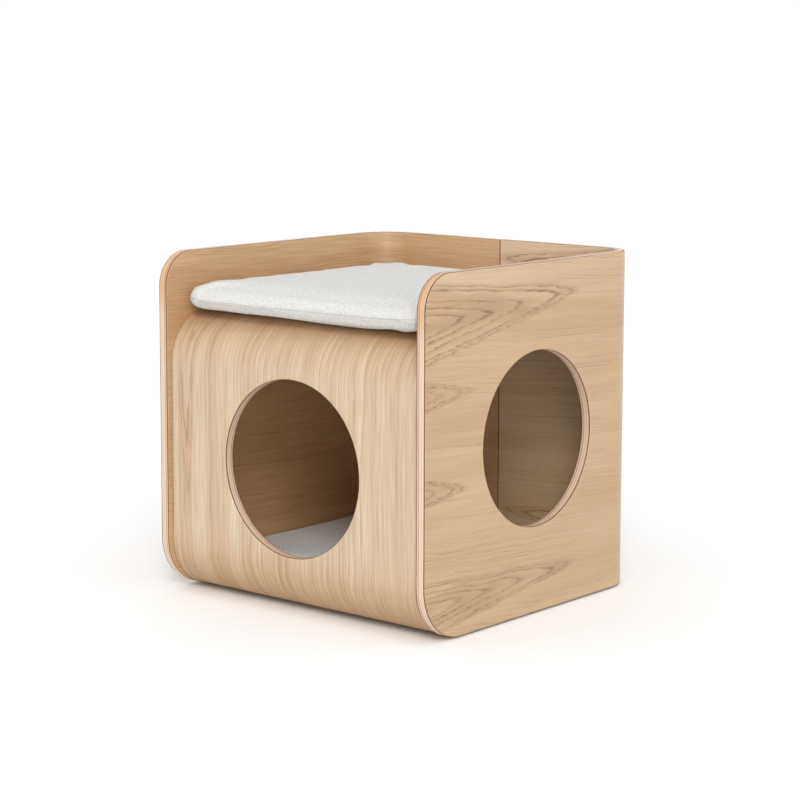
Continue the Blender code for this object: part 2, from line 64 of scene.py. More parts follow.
camera_data = bpy.data.cameras.new("camera")
camera_data.sensor_width = SENSOR_MM
camera_data.lens = SENSOR_MM * FOCAL_PIXELS / FRAME_PIXELS
camera_data.shift_x = 0.5 - LENS_AXIS_PIXEL[0] / FRAME_PIXELS
camera_data.shift_y = LENS_AXIS_PIXEL[1] / FRAME_PIXELS - 0.5
camera_data.clip_end = CAMERA_REACH
camera = bpy.data.objects.new("camera", camera_data)
camera.location = CAMERA_PLACE
level_look = Euler((math.pi / 2 - CAMERA_DIP, 0, CAMERA_TURN)).to_matrix()
camera.rotation_euler = (level_look @ Matrix.Rotation(CAMERA_ROLL, 3, "Z")).to_euler()
bpy.context.scene.collection.objects.link(camera)
bpy.context.scene.camera = camera

# The right shell
# A sheet of birch plywood faced with oak veneer, pressed round a corner mould: one side of the house and
# half of its back. Its two front corners are sawn round, its doorway is routed, and every arris is
# sanded over, so that the dark glue line under the veneer shows all round.
PLY = 0.013
SHELL_BEND_RADIUS = 0.050
FRONT_TOP_RADIUS = 0.040
FRONT_BOTTOM_RADIUS = 0.062
SIDE_DOORWAY_RADIUS = 0.100
SHELL_ARRIS = 0.0016
SEAM_ARRIS = 0.0005
SEAM_ALLOWANCE = 0.004  # sheet beyond the seam, which is sawn off
ARRIS_STEPS = 6
CORNER_STEPS = 20
BEND_STEPS = 28
DOORWAY_STEPS = 144
BORE_SIDES = 32
BORE_PLAY = 0.0003  # round each dowel, bolt and cam
THREAD_BORE = 0.0056
CRISP_TURN = math.radians(50)  # faces that meet at more than this keep a crisp edge
BROAD_FACE_WEIGHT = 80

shell_low, shell_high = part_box("right_shell")
HALF_SEAM = shell_low.x
BACK_FLAT = shell_high.x - SHELL_BEND_RADIUS - HALF_SEAM
SHELL_BEND = SHELL_BEND_RADIUS * math.pi / 2
SIDE_FLAT = shell_high.y - SHELL_BEND_RADIUS - shell_low.y
SHELL_LENGTH = BACK_FLAT + SHELL_BEND + SIDE_FLAT


def arc(centre, radius, start, turn, steps):
    """Points along an arc from one angle, by a turn to the left if positive."""
    angles = [start + turn * step / steps for step in range(steps + 1)]
    return [centre + radius * Vector((math.cos(angle), math.sin(angle))) for angle in angles]


def doorway(centre, radius):
    """A round hole, run clockwise so that the sheet is on its left."""
    return arc(Vector(centre), radius, 0, -2 * math.pi, DOORWAY_STEPS)[:-1]


def drawn_in(loop, inset):
    """The loop moved into the sheet, which lies on its left."""
    moved = []
    for index, point in enumerate(loop):
        before = (point - loop[index - 1]).normalized().orthogonal()
        after = (loop[(index + 1) % len(loop)] - point).normalized().orthogonal()
        inward = (before + after).normalized()
        moved.append(point + inward * inset / inward.dot(after))
    return moved


def sanded_over(arris):
    """The edge's section from one face to the other, as (how far in from the outline, depth)."""
    turns = [math.pi / 2 * step / ARRIS_STEPS for step in range(ARRIS_STEPS + 1)]
    first = [(arris * (1 - math.sin(turn)), arris * (1 - math.cos(turn))) for turn in turns]
    return first + [(inset, PLY - depth) for inset, depth in reversed(first)]


def sawn_blank(loops):
    """A flat sheet in (along, across, depth), sawn to its loops, each given with its arris."""
    shape = bmesh.new()
    rims = ([], [])
    for loop, arris in loops:
        rings = []
        for inset, depth in sanded_over(arris):
            rings.append([shape.verts.new((*point, depth)) for point in drawn_in(loop, inset)])
        for upper, lower in zip(rings, rings[1:]):
            for index in range(len(loop)):
                shape.faces.new((upper[index - 1], upper[index], lower[index], lower[index - 1]))
        for rim, ring in zip(rims, (rings[0], rings[-1])):
            rim.extend(shape.edges.get((ring[index - 1], ring[index])) for index in range(len(loop)))
    for rim in rims:
        bmesh.ops.triangle_fill(shape, edges=rim, use_beauty=True)
    bmesh.ops.recalc_face_normals(shape, faces=shape.faces)
    return shape


def saw_seam(shape):
    """Saws the blank off square where the two shells will butt, and breaks the new arris."""
    everything = shape.verts[:] + shape.edges[:] + shape.faces[:]
    bmesh.ops.bisect_plane(shape, geom=everything, plane_co=(0, 0, 0), plane_no=(1, 0, 0), clear_inner=True)
    cut = [edge for edge in shape.edges if edge.is_boundary]
    bmesh.ops.edgenet_fill(shape, edges=cut)
    bmesh.ops.bevel(shape, geom=cut, offset=SEAM_ARRIS, segments=2, profile=0.5, affect="EDGES")


def evaluated(piece):
    """The piece's mesh with its modifiers applied."""
    bpy.context.view_layer.update()
    shown = piece.evaluated_get(bpy.context.evaluated_depsgraph_get())
    return bpy.data.meshes.new_from_object(shown)


def on_the_bench(shape, name):
    """A mesh object for work in progress. The shape is used up."""
    mesh = bpy.data.meshes.new(name)
    shape.to_mesh(mesh)
    shape.free()
    thing = bpy.data.objects.new(name, mesh)
    bpy.context.scene.collection.objects.link(thing)
    return thing


def drill(start, end, radius):
    """A bar from start to end, as wide as the bore that it leaves."""
    shape = bmesh.new()
    turn = (end - start).to_track_quat("Z", "Y").to_matrix().to_4x4()
    place = Matrix.Translation((start + end) / 2) @ turn
    bmesh.ops.create_cone(
        shape, cap_ends=True, segments=BORE_SIDES, radius1=radius, radius2=radius,
        depth=(end - start).length, matrix=place,
    )
    return on_the_bench(shape, "drill")


def drilled(shape, bores):
    """The flat blank with each of its bores, given as (start, end, radius)."""
    blank = on_the_bench(shape, "blank")
    drills = [drill(*bore) for bore in bores]
    for tool in drills:
        cut = blank.modifiers.new("bore", "BOOLEAN")
        cut.object = tool
        cut.solver = "EXACT"
    mesh = evaluated(blank)
    for used in (blank, *drills):
        bpy.data.objects.remove(used)
    shape = bmesh.new()
    shape.from_mesh(mesh)
    return shape


def bore_along_x(node, lay_flat, radius=None):
    """The bore for a dowel or a bolt that lies across the house, in the blank's flat coordinates."""
    low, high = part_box(node)
    middle = (low + high) / 2
    if radius is None:
        radius = (high.z - low.z) / 2 + BORE_PLAY
    ends = [lay_flat(Vector((x, middle.y, middle.z))) for x in (low.x - BORE_PLAY, high.x + BORE_PLAY)]
    return (*ends, radius)


def pressed(shape, start, heading, stretches):
    """Bends a blank in a vertical plane or in plan, and returns it with its flat coordinates kept.

    The stretches are (length, turn to the right). The outer face is on the left of the way.
    """
    places = [(0, Vector(start), heading, 0, 0)]
    reached = 0
    for length, turn in stretches:
        along, point, angle, _, _ = places[-1]
        places[-1] = (reached, point, angle, length, turn)
        reached += length
        ahead = Vector((math.cos(angle), math.sin(angle)))
        if turn:
            radius = length / turn
            right = Vector((ahead.y, -ahead.x))
            centre = point + right * radius
            end = centre + Matrix.Rotation(-turn, 2) @ (point - centre)
        else:
            end = point + ahead * length
        places.append((reached, end, angle - turn, 0, 0))
    for from_along, _, _, length, turn in places[:-1]:
        steps = BEND_STEPS if turn else 1
        for step in range(steps):
            score = from_along + length * step / steps
            everything = shape.verts[:] + shape.edges[:] + shape.faces[:]
            bmesh.ops.bisect_plane(shape, geom=everything, plane_co=(score, 0, 0), plane_no=(1, 0, 0))
    flat_place = shape.verts.layers.float_vector.new("flat_place")
    for vert in shape.verts:
        vert[flat_place] = vert.co
        along, across, depth = vert.co
        stretch = max(index for index in range(len(places) - 1) if places[index][0] <= max(along, 0))
        from_along, point, angle, length, turn = places[stretch]
        ahead = Vector((math.cos(angle), math.sin(angle)))
        right = Vector((ahead.y, -ahead.x))
        gone = along - from_along
        if turn:
            radius = length / turn
            centre = point + right * radius
            spoke = Matrix.Rotation(-gone / radius, 2) @ (-right)
            bent = centre + spoke * (radius - depth)
        else:
            bent = point + ahead * gone + right * depth
        vert.co = (bent.x, bent.y, across)
    return shape


def stood(shape, turn_up):
    """Moves the blank's plane coordinates to where the sheet stands in the house."""
    bmesh.ops.transform(shape, matrix=turn_up.to_4x4(), verts=shape.verts)
    bmesh.ops.recalc_face_normals(shape, faces=shape.faces)
    return shape


def piece_from(shape, name, material):
    """A smooth-shaded object whose broad faces stay flat up to their sanded edges."""
    mesh = bpy.data.meshes.new(name)
    shape.to_mesh(mesh)
    shape.free()
    mesh.shade_smooth()
    mesh.set_sharp_from_angle(angle=CRISP_TURN)
    mesh.materials.append(material)
    piece = bpy.data.objects.new(name, mesh)
    bpy.context.scene.collection.objects.link(piece)
    shading = piece.modifiers.new("flat faces", "WEIGHTED_NORMAL")
    shading.weight = BROAD_FACE_WEIGHT
    shading.keep_sharp = True
    return piece


def add_node(tree, kind, settings=(), **inputs):
    """A shader node. An input is a socket, or a value for the node's own socket."""
    made = tree.nodes.new("ShaderNode" + kind)
    for name, value in dict(settings).items():
        setattr(made, name, value)
    for name, value in inputs.items():
        socket = made.inputs[int(name[1:])] if name[0] == "n" and name[1:].isdigit() else made.inputs[name]
        if isinstance(value, bpy.types.NodeSocket):
            tree.links.new(value, socket)
        else:
            socket.default_value = value
    return made


def calc(tree, operation, first, second=0.0, third=0.0):
    """One step of arithmetic. Each operand is a socket or a number."""
    return add_node(tree, "Math", {"operation": operation}, n0=first, n1=second, n2=third).outputs[0]


def grain_noise(tree, place, stretch, scale, detail=2.0, roughness=0.5):
    """Noise drawn out along the grain: stretch is how fine it is (along, across, through)."""
    scaled = add_node(tree, "VectorMath", {"operation": "MULTIPLY"}, n0=place, n1=stretch).outputs[0]
    noise = add_node(tree, "TexNoise", Vector=scaled, Scale=scale, Detail=detail, Roughness=roughness)
    return noise.outputs["Fac"]


def either_way(tree, wave, reach):
    """A noise as a shift to either side, by half the reach at most."""
    return calc(tree, "MULTIPLY_ADD", wave, reach, -reach / 2)


def graded(tree, value, stops):
    """A ramp from value to the colours or greys of its stops."""
    ramp = add_node(tree, "ValToRGB", Fac=value)
    elements = ramp.color_ramp.elements
    while len(elements) < len(stops):
        elements.new(0.5)
    for element, (position, colour) in zip(elements, stops):
        element.position = position
        element.color = (*colour, 1) if isinstance(colour, tuple) else (colour, colour, colour, 1)
    return ramp.outputs[0]


def mixed(tree, amount, first, second, blend="MIX"):
    """Two colours or numbers mixed by an amount. Each is a socket or a value."""
    mix = add_node(tree, "Mix", {"data_type": "RGBA", "blend_type": blend})
    for socket, value in ((mix.inputs[0], amount), (mix.inputs[6], first), (mix.inputs[7], second)):
        if isinstance(value, bpy.types.NodeSocket):
            tree.links.new(value, socket)
        elif isinstance(value, tuple):
            socket.default_value = (*value, 1)
        else:
            socket.default_value = value
    return mix.outputs[2]


# What an edge shows from the outer face to the inner one, as (how deep, colour)
CORE_CREAM = (0.72, 0.555, 0.405)
CORE_TAN = (0.56, 0.375, 0.24)
GLUE = (0.15, 0.055, 0.030)
BROWN_PLY = (0.40, 0.21, 0.115)
EDGE_LAYERS = (
    (0.0007, GLUE), (0.0018, GLUE), (0.0021, CORE_CREAM), (0.0046, CORE_CREAM), (0.0050, CORE_TAN),
    (0.0060, CORE_CREAM), (0.0082, CORE_CREAM), (0.0085, BROWN_PLY), (0.0093, BROWN_PLY),
    (0.0096, CORE_CREAM), (0.0111, CORE_TAN), (0.0113, GLUE), (0.0123, GLUE),
)
VENEER = 0.0006
LAYER_WAVER = 0.0006  # how far the layers stray in depth, in all
END_GRAIN = (0.93, 0.76, 0.62)  # times the core's colour, where the saw has crossed it aslant


def ply_layers(tree, depth, along, across, face_colour, end_grain):
    """Veneer, glue line and core as the depth in the sheet tells: an edge shows all of them."""
    edge_place = add_node(tree, "CombineXYZ", n0=along, n1=across, n2=depth).outputs[0]
    ragged = grain_noise(tree, edge_place, (160, 160, 300), 1, 2, 0.6)
    true_depth = calc(tree, "SUBTRACT", depth, LAYER_WAVER / 2)
    uneven_depth = calc(tree, "MULTIPLY_ADD", ragged, LAYER_WAVER, true_depth)
    layers = graded(
        tree,
        calc(tree, "DIVIDE", uneven_depth, PLY),
        [(layer_depth / PLY, colour) for layer_depth, colour in EDGE_LAYERS],
    )
    fibre = grain_noise(tree, edge_place, (420, 420, 1500), 1, 2, 0.6)
    layers = mixed(tree, 1.0, layers, graded(tree, fibre, ((0.25, 0.88), (0.75, 1.06))), "MULTIPLY")
    layers = mixed(tree, end_grain, layers, mixed(tree, 1.0, layers, END_GRAIN, "MULTIPLY"))
    from_middle = calc(tree, "ABSOLUTE", calc(tree, "SUBTRACT", depth, PLY / 2))
    in_veneer = calc(tree, "GREATER_THAN", from_middle, PLY / 2 - VENEER)
    return mixed(tree, in_veneer, layers, face_colour)


def between(tree, value, start, end):
    """0 at start, 1 at end and beyond. The start may be the larger one."""
    ramp = add_node(tree, "MapRange", Value=value)
    ramp.interpolation_type = "SMOOTHSTEP"
    ramp.inputs["From Min"].default_value = start
    ramp.inputs["From Max"].default_value = end
    return ramp.outputs[0]


def heart_rings(tree, along, across, height, tip, rise, flat, taper, spacing):
    """Rings out from the outermost arch of one heart of the veneer: 0 on it, negative inside it."""
    offset = calc(tree, "ADD", across, calc(tree, "MULTIPLY_ADD", along, rise, -height - tip * rise))
    squared = calc(tree, "MULTIPLY_ADD", offset, offset, flat * flat)
    opening = calc(tree, "MULTIPLY_ADD", along, -taper, tip * taper - flat)
    return calc(tree, "DIVIDE", calc(tree, "ADD", calc(tree, "SQRT", squared), opening), spacing)


def ring_tone(tree, phase):
    """A ring's dark line, and the tan zone that fades outward from it."""
    part = calc(tree, "FRACT", phase)
    line = graded(tree, part, ((0.0, 1.0), (0.07, 0.55), (0.16, 0.0), (0.93, 0.0), (1.0, 1.0)))
    zone = graded(tree, part, ((0.0, 0.9), (0.10, 1.0), (0.45, 0.5), (0.80, 0.0), (0.96, 0.0), (1.0, 0.6)))
    return line, zone


# How far the grain strays in all: across the sheet in long and in short waves, and along it from one
# fibre to the next. The drifts are those of the rings' spacing, in rings.
WANDER = 0.018
WOBBLE = 0.005
COMB = 0.038
RING_DRIFT = 2.4
HEART_DRIFT = 1.5
HEART_RIM = (0.75, 0.20)  # where a heart's figure begins and is full, in rings from its outermost arch
HEART_ZONE = 0.85
PORE_SHADE = 0.5  # times the ring line's colour
GRAIN_RELIEF = 0.0004
LACQUER = (0.14, 0.36)  # its roughness: how much it varies from fibre to fibre, and the least
FIBRE_SHEEN = 0.8
QUARTER_TURN = 0.25  # from along the fibres to across them


def veneer_material(name, tones, hearts, plain, fibre_depth, back, accents, fibre_axis):
    """Oak veneer on both faces: pale and tan bands, rings with a dark line, fine fibres and pores.

    The tones are pale, tan, ring zone and ring line. Plain wood has (spacing, slant, zone, line, band
    scale). The back is the inner leaf's (tint, shift along, shift across, whether it has hearts), and
    the accents take (tree, along, across) and return the end grain's share and the face's tint. The
    fibres run round the given axis of the house.
    """
    material = bpy.data.materials.new(name)
    material.use_nodes = True
    tree = material.node_tree
    shader = tree.nodes["Principled BSDF"]
    pale, tan, zone_tone, line_tone = tones
    spacing, slant, zone_strength, line_strength, band_scale = plain
    back_tint, back_along, back_across, back_hearts = back
    place = add_node(tree, "Attribute", {"attribute_name": "flat_place"}).outputs["Vector"]
    along, across, depth = add_node(tree, "SeparateXYZ", Vector=place).outputs
    inside = calc(tree, "GREATER_THAN", depth, PLY / 2)
    own_along = calc(tree, "MULTIPLY_ADD", inside, back_along, along)
    own_across = calc(tree, "MULTIPLY_ADD", inside, back_across, across)
    own = add_node(tree, "CombineXYZ", n0=own_along, n1=own_across, n2=inside).outputs[0]

    wander = grain_noise(tree, own, (4.5, 13, 3), 1, 3, 0.55)
    wobble = grain_noise(tree, own, (24, 80, 3), 1, 2, 0.5)
    shift = calc(tree, "ADD", either_way(tree, wander, WANDER), either_way(tree, wobble, WOBBLE))
    bent_across = calc(tree, "ADD", own_across, shift)
    comb = grain_noise(tree, own, (11, 620, 3), 1, 2, 0.6)
    combed_along = calc(tree, "ADD", own_along, either_way(tree, comb, COMB))

    level = calc(tree, "MULTIPLY_ADD", own_along, -slant, bent_across)
    phase = calc(tree, "DIVIDE", level, spacing)
    uneven = add_node(tree, "TexNoise", {"noise_dimensions": "1D"}, W=phase, Scale=0.43, Detail=1.0)
    line, zone = ring_tone(tree, calc(tree, "MULTIPLY_ADD", uneven.outputs["Fac"], RING_DRIFT, phase))
    fading = grain_noise(tree, own, (3.2, 42, 1), 1, 3, 0.6)
    line = calc(tree, "MULTIPLY", line, graded(tree, fading, ((0.42, 0.0), (0.70, line_strength))))
    zone = calc(tree, "MULTIPLY", zone, graded(tree, fading, ((0.30, 0.0), (0.66, zone_strength))))
    broken = grain_noise(tree, own, (13, 90, 1), 1, 2, 0.6)
    patches = grain_noise(tree, own, (7, 36, 1), 1, 3, 0.6)
    for heart in hearts:
        rings = heart_rings(tree, combed_along, bent_across, *heart)
        in_figure = between(tree, rings, *HEART_RIM)
        if not back_hearts:
            in_figure = calc(tree, "MULTIPLY", in_figure, calc(tree, "SUBTRACT", 1.0, inside))
        spread = add_node(tree, "TexNoise", {"noise_dimensions": "1D"}, W=rings, Scale=0.8, Detail=1.0)
        uneven_rings = calc(tree, "MULTIPLY_ADD", spread.outputs["Fac"], HEART_DRIFT, rings)
        figure_line, figure_zone = ring_tone(tree, uneven_rings)
        unbroken = graded(tree, broken, ((0.34, 0.15), (0.58, 0.95)))
        figure_line = calc(tree, "MULTIPLY", figure_line, unbroken)
        browner = graded(tree, patches, ((0.40, 0.10), (0.62, 0.80)))
        figure_zone = calc(tree, "MAXIMUM", calc(tree, "MULTIPLY", figure_zone, HEART_ZONE), browner)
        line = mixed(tree, in_figure, line, figure_line)
        zone = mixed(tree, in_figure, zone, figure_zone)

    band = grain_noise(tree, own, (1.5, band_scale, 1), 1, 4, 0.6)
    colour = mixed(tree, graded(tree, band, ((0.36, 0.0), (0.62, 1.0))), pale, tan)
    colour = mixed(tree, zone, colour, zone_tone)
    colour = mixed(tree, line, colour, line_tone)
    fibre = grain_noise(tree, own, (16, 520, 1), 1, 3, 0.6)
    fibre_tone = graded(tree, fibre, ((0.25, 1 - fibre_depth), (0.75, 1 + 0.6 * fibre_depth)))
    colour = mixed(tree, 1.0, colour, fibre_tone, "MULTIPLY")
    fleck = grain_noise(tree, own, (95, 1150, 1), 1, 1, 0.5)
    pore = graded(tree, fleck, ((0.66, 0.0), (0.74, 1.0)))
    near_ring = calc(tree, "MULTIPLY_ADD", zone, 0.45, 0.10)
    pore_tone = tuple(PORE_SHADE * part for part in line_tone)
    colour = mixed(tree, calc(tree, "MULTIPLY", pore, near_ring), colour, pore_tone)
    colour = mixed(tree, inside, colour, mixed(tree, 1.0, colour, back_tint, "MULTIPLY"))
    end_grain, tint = accents(tree, along, across)
    colour = mixed(tree, 1.0, colour, tint, "MULTIPLY")

    layers = ply_layers(tree, depth, along, across, colour, end_grain)
    tree.links.new(layers, shader.inputs["Base Color"])
    relief = calc(tree, "MULTIPLY_ADD", fibre, 0.5, calc(tree, "MULTIPLY", pore, -0.6))
    bump = add_node(tree, "Bump", Strength=0.12, Distance=GRAIN_RELIEF, Height=relief)
    tree.links.new(bump.outputs["Normal"], shader.inputs["Normal"])
    tree.links.new(calc(tree, "MULTIPLY_ADD", fibre, *LACQUER), shader.inputs["Roughness"])
    shader.inputs["Specular IOR Level"].default_value = 0.5
    # Round fibres draw a highlight out across themselves
    fibre_way = add_node(tree, "Tangent", {"direction_type": "RADIAL", "axis": fibre_axis})
    tree.links.new(fibre_way.outputs[0], shader.inputs["Tangent"])
    shader.inputs["Anisotropic"].default_value = FIBRE_SHEEN
    shader.inputs["Anisotropic Rotation"].default_value = QUARTER_TURN
    return material


# Each heart on the side's outer leaf: its height, where its outermost arch ends along the sheet, its
# rise, how flat and how wide its arches are, and their spacing
SHELL_HEARTS = (
    (0.362, 0.325, 0.06, 0.0035, 0.155, 0.0081),
    (0.267, 0.509, 0.00, 0.0030, 0.17, 0.0046),
    (0.166, 0.520, 0.00, 0.0030, 0.17, 0.0046),
    (0.047, 0.328, 0.03, 0.0035, 0.105, 0.0054),
)
OAK_TONES = ((0.560, 0.404, 0.242), (0.500, 0.337, 0.190), (0.415, 0.256, 0.134), (0.20, 0.100, 0.047))
# Painted highlight: the leaf grows paler towards its top, where the light from above falls
LEAF_AND_TOP_LIGHT_BY_HEIGHT = (
    (0.05, (0.97, 0.96, 0.95)), (0.35, (0.955, 0.94, 0.915)), (0.75, (0.985, 0.98, 0.97)),
    (0.92, (1.0, 1.0, 1.0)), (0.975, (1.07, 1.11, 1.16)),
)
PLAIN_OAK = (0.0052, 0.07, 0.38, 0.50, 24)
INNER_LEAF_SHIFT = (0.305, -0.017)  # along and across the log, from the outer leaf
SEAM_LINE = 0.0007
SEAM_BROWN = (0.16, 0.09, 0.06)
END_GRAIN_BELOW_TOP = (0.080, 0.038)  # where it begins and is full
END_GRAIN_FROM_FRONT = (0.055, 0.030)


def shell_accents(tree, along, across):
    """End grain round the upper front corner, a leaf brown at the seam, and a painted highlight at the top.
    """
    leaf = graded(tree, calc(tree, "DIVIDE", across, shell_high.z), LEAF_AND_TOP_LIGHT_BY_HEIGHT)
    high = between(tree, across, *(shell_high.z - below for below in END_GRAIN_BELOW_TOP))
    front = between(tree, along, *(SHELL_LENGTH - behind for behind in END_GRAIN_FROM_FRONT))
    at_seam = between(tree, along, SEAM_LINE, SEAM_LINE * 0.6)
    return calc(tree, "MULTIPLY", high, front), mixed(tree, at_seam, leaf, SEAM_BROWN)


def shell_veneer(name, fibre_depth, back_tint, back_hearts):
    """A shell's two leaves, whose grain runs level round the house."""
    back = (back_tint, *INNER_LEAF_SHIFT, back_hearts)
    return veneer_material(
        name, OAK_TONES, SHELL_HEARTS, PLAIN_OAK, fibre_depth, back, shell_accents, fibre_axis="Z",
    )


def shell_loops(has_doorway):
    """The flat outline, anticlockwise in (along from the seam, height), and the doorway if it has one."""
    low, high, front = shell_low.z, shell_high.z, SHELL_LENGTH
    bottom_centre = Vector((front - FRONT_BOTTOM_RADIUS, low + FRONT_BOTTOM_RADIUS))
    top_centre = Vector((front - FRONT_TOP_RADIUS, high - FRONT_TOP_RADIUS))
    outline = [Vector((-SEAM_ALLOWANCE, low))]
    outline += arc(bottom_centre, FRONT_BOTTOM_RADIUS, -math.pi / 2, math.pi / 2, CORNER_STEPS)
    outline += arc(top_centre, FRONT_TOP_RADIUS, 0, math.pi / 2, CORNER_STEPS)
    outline.append(Vector((-SEAM_ALLOWANCE, high)))
    loops = [(outline, SHELL_ARRIS)]
    if has_doorway:
        middle = (BACK_FLAT + SHELL_BEND + shell_high.y - SHELL_BEND_RADIUS, (low + high) / 2)
        loops.append((doorway(middle, SIDE_DOORWAY_RADIUS), SHELL_ARRIS))
    return loops


def side_to_flat(point):
    """From a place in the house to the blank's (along, across, depth), on the shell's side."""
    return Vector((SHELL_LENGTH - (point.y - shell_low.y), point.z, shell_high.x - abs(point.x)))


def back_to_flat(point):
    """The same on the shell's half of the back."""
    return Vector((point.x - HALF_SEAM, point.z, shell_high.y - point.y))


def shell_bores(side):
    """Bores for the dowels across the seam, and for the wrap's dowels and bolts."""
    bores = [bore_along_x(name, back_to_flat) for name in sorted(nodes) if name.startswith("seam_dowel")]
    for name in sorted(nodes):
        if name.endswith(side) and "_dowel_" in name:
            bores.append(bore_along_x(name, side_to_flat))
        elif name.endswith(side) and "_bolt_" in name:
            bores.append(bore_along_x(name, side_to_flat, THREAD_BORE / 2))
    return bores


def make_shell(name, side, has_doorway, mirror, veneer):
    """Saws, drills and presses one shell. Mirror is -1 for the one on the left."""
    blank = sawn_blank(shell_loops(has_doorway))
    saw_seam(blank)
    stretches = ((BACK_FLAT, 0), (SHELL_BEND, math.pi / 2), (SIDE_FLAT, 0))
    shape = pressed(drilled(blank, shell_bores(side)), (HALF_SEAM, shell_high.y), 0, stretches)
    stood(shape, Matrix.Diagonal((mirror, 1, 1)))
    piece = piece_from(shape, name, veneer)
    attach(piece, "house")
    return piece


right_veneer = shell_veneer(
    "oak_veneer_right", fibre_depth=0.08, back_tint=(1.12, 1.17, 1.25), back_hearts=True,
)
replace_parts(make_shell("right_shell_veneered", "right", True, 1, right_veneer), "right_shell")

# The left shell
# Pressed in the same mould and turned over, it is the other side and the other half of the back. It has
# no doorway, and the leaf on its inner face is redder and straight in the grain.
left_veneer = shell_veneer(
    "oak_veneer_left", fibre_depth=0.22, back_tint=(1.02, 0.89, 0.79), back_hearts=False,
)
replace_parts(make_shell("left_shell_veneered", "left", False, -1, left_veneer), "left_shell")

# The inner wrap
# The longest sheet, pressed twice: floor, front and shelf in one piece, its grain running round both
# bends, where painted shade makes it browner. It stands between the shells and is held to them by
# dowels and cam fittings, which sit in bores in its edges and its undersides.
WRAP_BEND_RADIUS = 0.058
WRAP_CORNER_RADIUS = 0.039
WRAP_ARRIS = 0.0006
DOORWAY_ARRIS = 0.0018
FRONT_DOORWAY_RADIUS = 0.100725
DOORWAY_ABOVE_BEND = 0.0075
CAM_BORE_START = 4 * BORE_PLAY  # below the cam, so that its bore opens in the underside

wrap_low, wrap_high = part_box("inner_wrap")
WRAP_BEND = WRAP_BEND_RADIUS * math.pi / 2
FLOOR_FLAT = wrap_high.y - wrap_low.y - WRAP_BEND_RADIUS
FRONT_FLAT = wrap_high.z - wrap_low.z - 2 * WRAP_BEND_RADIUS
WRAP_LENGTH = 2 * FLOOR_FLAT + 2 * WRAP_BEND + FRONT_FLAT
FRONT_START = FLOOR_FLAT + WRAP_BEND
FRONT_END = FRONT_START + FRONT_FLAT
WRAP_TONES = ((0.625, 0.510, 0.360), (0.555, 0.408, 0.260), (0.49, 0.335, 0.20), (0.34, 0.195, 0.10))
# One narrow heart runs down the front's left side, and its arches end halfway down
WRAP_HEART = (-0.163, FRONT_START + 0.085, 0.0, 0.003, 0.075, 0.0072)
PLAIN_WRAP = (0.0088, 0.0, 0.70, 0.75, 36)
# Painted shade: the wrap's inner face is darkened and reddened, for the shade inside the cabin
INNER_WRAP_PAINTED_SHADE = (0.54, 0.40, 0.31)
# Painted shade: the face is browner over both bends, for the shade under the top cushion and down at the
# floor
PAINTED_SHADE_OVER_BEND = (0.88, 0.73, 0.58)
PAINTED_SHADE_BELOW = (FRONT_START + 0.030, FLOOR_FLAT + WRAP_BEND * 0.5)  # where it begins and is full
PAINTED_SHADE_ABOVE = (FRONT_END - 0.005, FRONT_END + WRAP_BEND * 0.75)


def wrap_accents(tree, along, across):
    """No end grain, and painted shade: a browner face where the sheet goes over its bends."""
    lower = between(tree, along, *PAINTED_SHADE_BELOW)
    upper = between(tree, along, *PAINTED_SHADE_ABOVE)
    return 0.0, mixed(tree, calc(tree, "MAXIMUM", lower, upper), (1.0, 1.0, 1.0), PAINTED_SHADE_OVER_BEND)


wrap_veneer = veneer_material(
    "oak_veneer_wrap", WRAP_TONES, (WRAP_HEART,), PLAIN_WRAP, fibre_depth=0.24,
    back=(INNER_WRAP_PAINTED_SHADE, 0.0, 0.05, False), accents=wrap_accents, fibre_axis="X",
)


def wrap_loops():
    """The flat outline, anticlockwise in (along from the floor's back edge, across), and the doorway."""
    reach, radius = wrap_high.x, WRAP_CORNER_RADIUS
    outline = []
    for index, (along, across) in enumerate(
        ((radius, radius - reach), (WRAP_LENGTH - radius, radius - reach),
         (WRAP_LENGTH - radius, reach - radius), (radius, reach - radius))
    ):
        start = math.pi + index * math.pi / 2
        outline += arc(Vector((along, across)), radius, start, math.pi / 2, CORNER_STEPS)
    middle = (FRONT_START + DOORWAY_ABOVE_BEND + FRONT_DOORWAY_RADIUS, 0)
    return [(outline, WRAP_ARRIS), (doorway(middle, FRONT_DOORWAY_RADIUS), DOORWAY_ARRIS)]


def floor_to_flat(point):
    """From a place in the house to the blank's (along, across, depth), on the floor."""
    return Vector((wrap_high.y - point.y, point.x, point.z - wrap_low.z))


def shelf_to_flat(point):
    """The same on the shelf."""
    return Vector((WRAP_LENGTH - (wrap_high.y - point.y), point.x, wrap_high.z - point.z))


def wrap_bores():
    """Bores for the dowels and bolts in the side edges, and for the cams in the undersides."""
    bores = []
    for level, lay_flat in (("floor", floor_to_flat), ("shelf", shelf_to_flat)):
        for name in sorted(nodes):
            if not name.startswith(level):
                continue
            if "_dowel_" in name or "_bolt_" in name:
                bores.append(bore_along_x(name, lay_flat))
            elif "_cam_" in name:
                low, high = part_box(name)
                middle = (low + high) / 2
                under = Vector((middle.x, middle.y, low.z - CAM_BORE_START))
                over = Vector((middle.x, middle.y, high.z + BORE_PLAY))
                bores.append((lay_flat(under), lay_flat(over), (high.x - low.x) / 2 + BORE_PLAY))
    return bores


